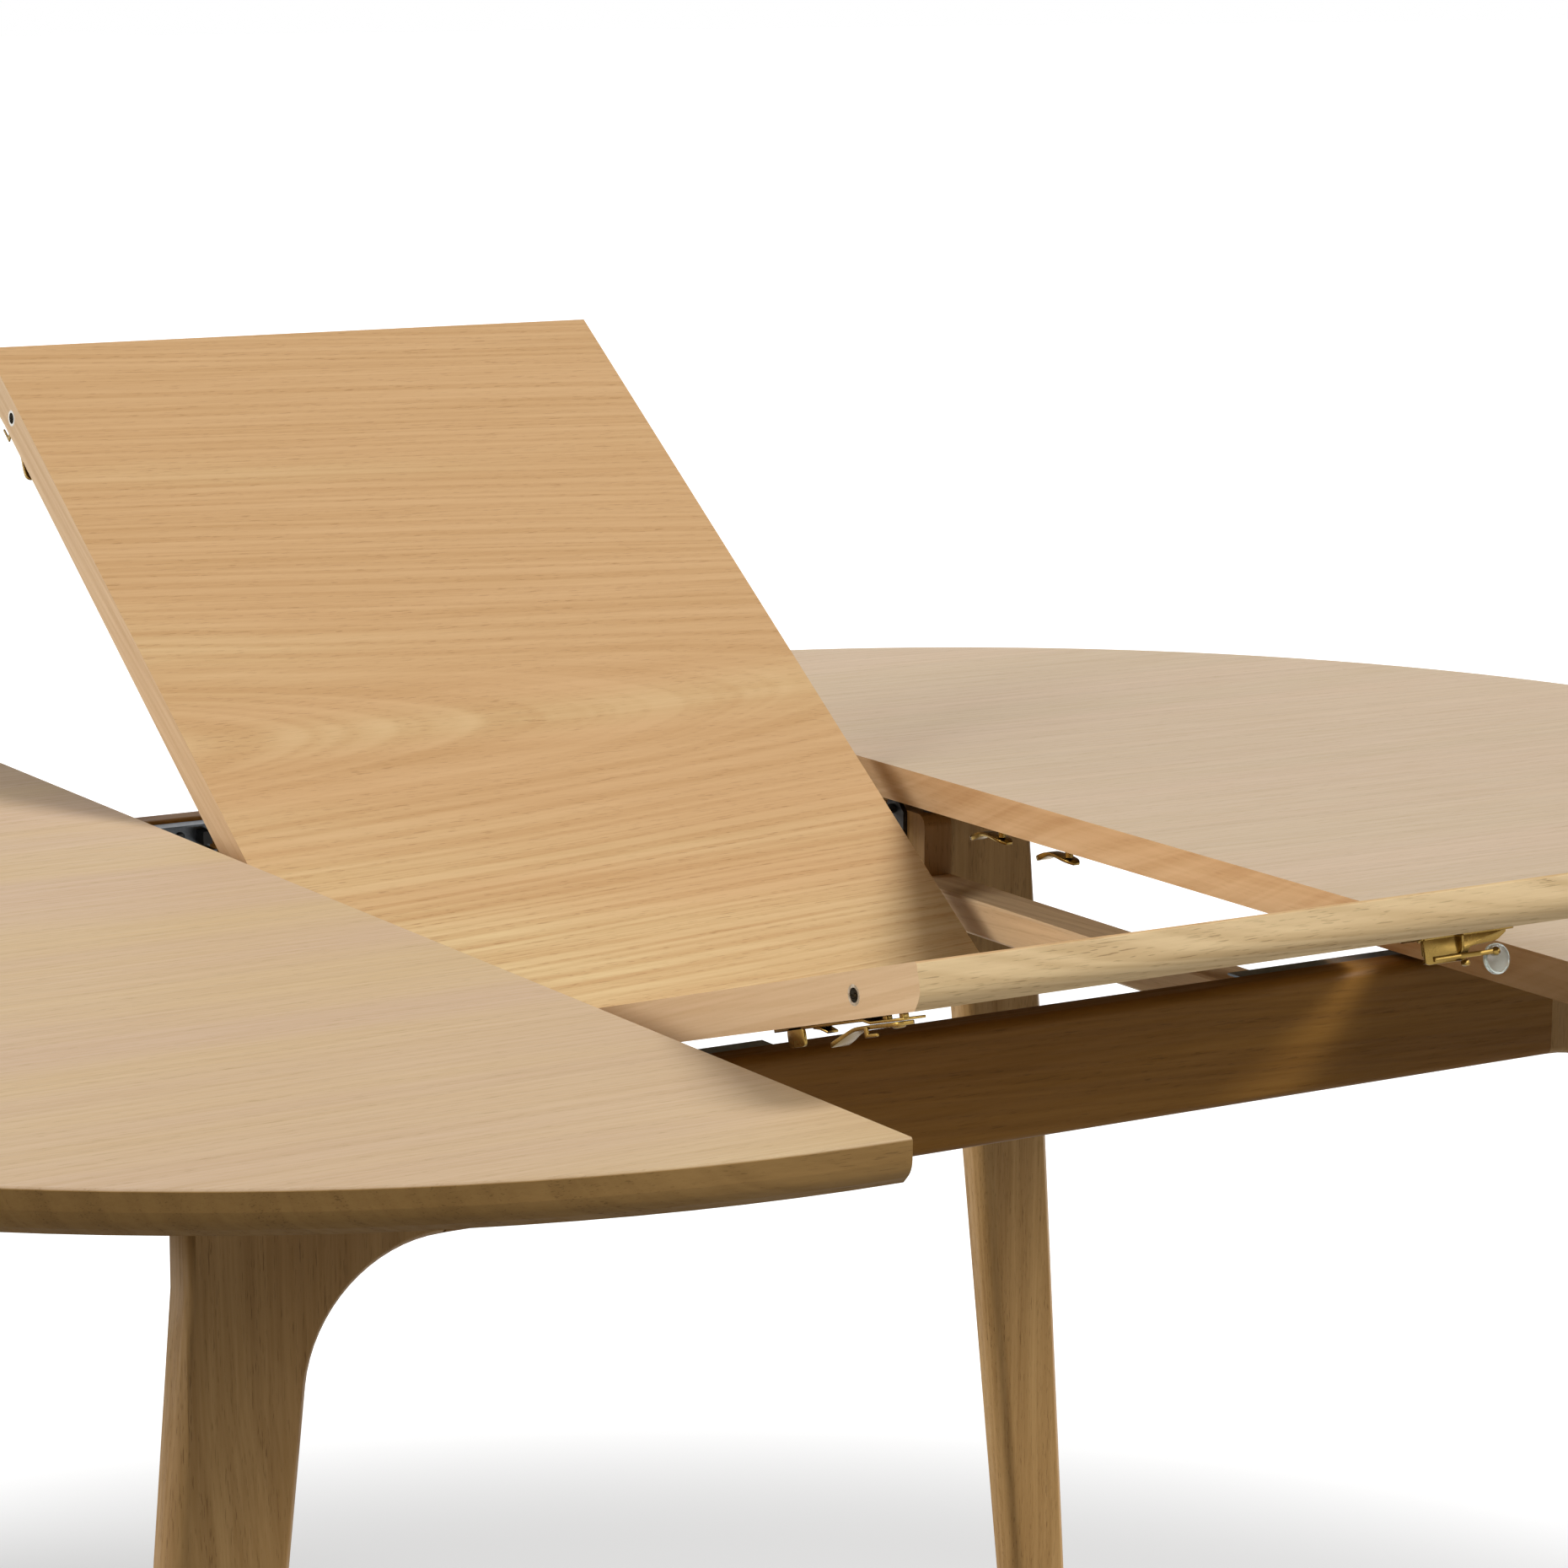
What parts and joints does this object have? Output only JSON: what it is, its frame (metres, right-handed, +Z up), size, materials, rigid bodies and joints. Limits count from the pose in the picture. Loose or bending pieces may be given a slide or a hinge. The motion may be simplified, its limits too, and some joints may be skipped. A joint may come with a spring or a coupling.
{
  "type": "extending dining table",
  "caption": "Oval extending dining table with half-round tops on runners and a folding butterfly leaf that swings up between them, on splayed legs.",
  "frame": {"origin": "on the floor under the middle of the table", "axes": "+X along the extension, to the right; +Y to the rear; +Z up"},
  "size_m": [1.6768, 1.2, 1.0026],
  "materials": {
    "top_veneer": "matt lacquered oak",
    "leaf_veneer": "matt lacquered oak",
    "lipping_wood": "light oak strip",
    "base_wood": "matt lacquered oak",
    "rail_wood": "plain hardwood",
    "pin_wood": "turned dowel",
    "brass": "passivated",
    "dark_steel": "black",
    "runner_steel": "zinc",
    "black_plastic": "moulded",
    "socket_plastic": "moulded",
    "clear_plastic": "clear"
  },
  "bodies": {
    "base": {"front_apron": "base_wood", "rear_apron": "base_wood", "runner_stops": "black_plastic", "foot_glides": "black_plastic", "front_left_leg": "base_wood", "front_right_leg": "base_wood", "rear_left_leg": "base_wood", "rear_right_leg": "base_wood", "crossbar_left": "rail_wood", "crossbar_right": "rail_wood", "end_rail_left": "rail_wood", "end_rail_right": "rail_wood", "pivot_block_left": "rail_wood", "pivot_block_right": "rail_wood", "pivot_plate_left": "dark_steel", "pivot_plate_right": "dark_steel", "runner_fixed_front_left": "runner_steel", "runner_fixed_front_right": "runner_steel", "runner_fixed_rear_left": "runner_steel", "runner_fixed_rear_right": "runner_steel"},
    "left_top": {"left_top_panel": "top_veneer", "left_top_lipping": "lipping_wood", "left_top_pins": "pin_wood", "runner_top_front_left": "runner_steel", "runner_top_rear_left": "runner_steel"},
    "right_top": {"right_top_panel": "top_veneer", "right_top_lipping": "lipping_wood", "runner_top_front_right": "runner_steel", "runner_top_rear_right": "runner_steel", "centre_catch_plate_front": "brass", "centre_catch_plate_rear": "brass"},
    "left_runner_middles": {"runner_middle_front_left": "runner_steel", "runner_middle_rear_left": "runner_steel"},
    "right_runner_middles": {"runner_middle_front_right": "runner_steel", "runner_middle_rear_right": "runner_steel"},
    "leaf_rear": {"leaf_rear_panel": "leaf_veneer", "leaf_rear_barrels": "brass", "leaf_rear_socket": "socket_plastic", "leaf_catch_plate_rear": "brass", "leaf_rear_lipping_left": "lipping_wood", "leaf_rear_lipping_right": "lipping_wood", "pivot_bracket_left": "dark_steel", "pivot_bracket_right": "dark_steel"},
    "leaf_front": {"leaf_front_panel": "leaf_veneer", "leaf_front_barrels": "brass", "leaf_front_socket": "socket_plastic", "leaf_catch_plate_front": "brass", "disc_bracket": "brass", "catch_disc": "clear_plastic", "leaf_front_lipping_left": "lipping_wood", "leaf_front_lipping_right": "lipping_wood"},
    "leaf_lever_front": {"leaf_catch_lever_front": "brass"},
    "leaf_lever_rear": {"leaf_catch_lever_rear": "brass"},
    "centre_lever_front": {"centre_catch_lever_front": "brass"},
    "centre_lever_rear": {"centre_catch_lever_rear": "brass"}
  },
  "joints": [
    {"name": "left_top_slide", "type": "slide", "parent": "base", "child": "left_top", "axis": [-1, 0, 0], "range_m": [-0.023, 0]},
    {"name": "right_top_slide", "type": "slide", "parent": "base", "child": "right_top", "axis": [1, 0, 0], "range_m": [-0.023, 0]},
    {"name": "left_middle_slide", "type": "slide", "parent": "base", "child": "left_runner_middles", "axis": [-1, 0, 0], "range_m": [-0.0115, 0]},
    {"name": "right_middle_slide", "type": "slide", "parent": "base", "child": "right_runner_middles", "axis": [1, 0, 0], "range_m": [-0.0115, 0]},
    {"name": "leaf_turn", "type": "hinge", "parent": "base", "child": "leaf_rear", "pos_m": [0, 0.153, 0.722], "axis": [1, 0, 0], "range_deg": [-35.32, 88]},
    {"name": "leaf_fold", "type": "hinge", "parent": "leaf_rear", "child": "leaf_front", "pos_m": [0, 0.01197, 0.65639], "axis": [1, 0, 0], "range_deg": [-127.24, 51.08]},
    {"name": "front_leaf_lever_turn", "type": "hinge", "parent": "leaf_front", "child": "leaf_lever_front", "pos_m": [-0.207, -0.53876, 0.78881], "axis": [0, 0.2714, 0.9625], "range_deg": [0, 90]},
    {"name": "rear_leaf_lever_turn", "type": "hinge", "parent": "leaf_rear", "child": "leaf_lever_rear", "pos_m": [-0.207, 0.48651, 0.96567], "axis": [0, 0.5781, -0.8159], "range_deg": [0, 90]},
    {"name": "front_centre_lever_turn", "type": "hinge", "parent": "right_top", "child": "centre_lever_front", "pos_m": [0.256, -0.018, 0.721], "axis": [0, 0, 1], "range_deg": [0, 90]},
    {"name": "rear_centre_lever_turn", "type": "hinge", "parent": "right_top", "child": "centre_lever_rear", "pos_m": [0.256, 0.053, 0.721], "axis": [0, 0, 1], "range_deg": [0, 90]}
  ],
  "couplings": [
    {"joint": "left_middle_slide", "follows": "left_top_slide", "ratio": 0.5},
    {"joint": "right_middle_slide", "follows": "right_top_slide", "ratio": 0.5},
    {"joint": "leaf_fold", "follows": "leaf_turn", "ratio": -1.4458}
  ]
}
